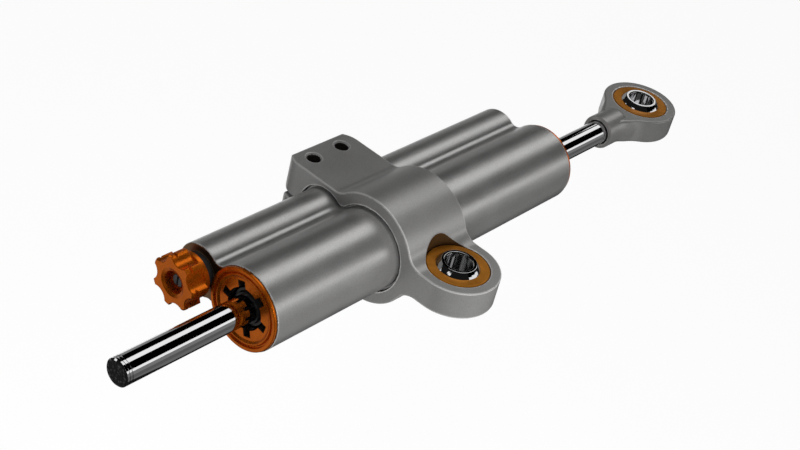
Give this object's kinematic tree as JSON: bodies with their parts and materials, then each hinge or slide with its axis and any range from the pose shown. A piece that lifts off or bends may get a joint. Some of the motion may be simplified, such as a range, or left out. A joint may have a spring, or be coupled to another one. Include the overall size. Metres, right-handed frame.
{
  "type": "motorcycle steering damper",
  "caption": "Linear hydraulic steering damper: twin-tube body, through rod with ball-joint eye, sliding clamp with ball-joint lug and a lobed click adjuster.",
  "frame": {"origin": "centre of the spherical bearing in the clamp's lug", "axes": "+X along the rod towards the rod end, +Y from the lug towards the tubes and the screw block, +Z along the bores of both bearings"},
  "size_m": [0.2452, 0.071, 0.034],
  "materials": {
    "body_aluminium": "bead-blasted, anodised grey",
    "clamp_aluminium": "matte machined, anodised dark grey",
    "bare_aluminium": "turned",
    "orange_anodised": "turned and anodised orange",
    "hard_chrome": "ground and hard chromed",
    "ball_steel": "polished bearing steel",
    "bright_steel": "bright steel",
    "black_steel": "blackened steel",
    "bronze": "fine turned bronze",
    "seal_rubber": "black nitrile rubber",
    "black_plastic": "black moulded",
    "ring_plastic": "bronze-filled PTFE"
  },
  "bodies": {
    "clamp": {"clamp": "clamp_aluminium", "clamp_screws": "black_steel", "lug_race": "bronze"},
    "lug_ball": {"lug_ball": "ball_steel"},
    "housing": {"body_housing": "body_aluminium", "front_cap": "orange_anodised", "rear_cap": "orange_anodised", "front_cap_o_ring": "seal_rubber", "rear_cap_o_ring": "seal_rubber", "front_scraper": "black_plastic", "rear_scraper": "black_plastic", "front_rod_seal": "seal_rubber", "rear_rod_seal": "seal_rubber", "front_guide_bush": "bronze", "rear_guide_bush": "bronze", "adjuster_bushing": "black_plastic", "bushing_o_ring": "seal_rubber", "stem_o_ring": "seal_rubber", "detent_ball": "bright_steel", "detent_spring": "bright_steel", "valve_seat": "bronze", "reservoir_plug": "bare_aluminium", "plug_o_ring": "seal_rubber"},
    "piston_ring": {"piston_ring": "ring_plastic", "piston_o_ring": "seal_rubber"},
    "rod": {"piston_rod": "hard_chrome", "piston": "bare_aluminium", "piston_circlips": "black_steel", "rod_end": "clamp_aluminium", "rod_end_race": "bronze"},
    "rod_end_ball": {"rod_end_ball": "ball_steel"},
    "knob": {"adjuster_knob": "orange_anodised", "knob_screw": "black_steel", "adjuster_stem": "bright_steel"},
    "needle": {"adjuster_needle": "bronze"},
    "compensator": {"compensator_piston": "bare_aluminium", "compensator_o_ring": "seal_rubber", "compensator_spring": "bright_steel"}
  },
  "joints": [
    {"name": "lug_ball_tilt", "type": "hinge", "parent": "clamp", "child": "lug_ball", "pos_m": [0, 0, 0], "axis": [0, 1, 0], "range_deg": [-13, 13]},
    {"name": "clamp_slide", "type": "slide", "parent": "clamp", "child": "housing", "axis": [1, 0, 0], "range_m": [-0.055, 0.045]},
    {"name": "rod_slide", "type": "slide", "parent": "housing", "child": "piston_ring", "axis": [1, 0, 0], "range_m": [-0.031, 0.037]},
    {"name": "rod_turn", "type": "hinge", "parent": "piston_ring", "child": "rod", "pos_m": [0, 0.0237, 0], "axis": [1, 0, 0], "continuous": true},
    {"name": "rod_end_ball_tilt", "type": "hinge", "parent": "rod", "child": "rod_end_ball", "pos_m": [0.1283, 0.0237, 0], "axis": [0, 1, 0], "range_deg": [-13, 13]},
    {"name": "adjuster_turn", "type": "hinge", "parent": "housing", "child": "knob", "pos_m": [-0.0604, 0.04168, 0.0008], "axis": [1, 0, 0], "range_deg": [-257, 257]},
    {"name": "needle_travel", "type": "slide", "parent": "knob", "child": "needle", "axis": [1, 0, 0], "range_m": [-0.00075, 0.00075]},
    {"name": "compensator_slide", "type": "slide", "parent": "housing", "child": "compensator", "axis": [1, 0, 0], "range_m": [-0.0025, 0.0025], "stiffness_N_per_m": 400, "deforming": ["compensator_spring"]}
  ],
  "couplings": [
    {"joint": "needle_travel", "follows": "adjuster_turn", "m_per_rad": 0.00015915}
  ]
}
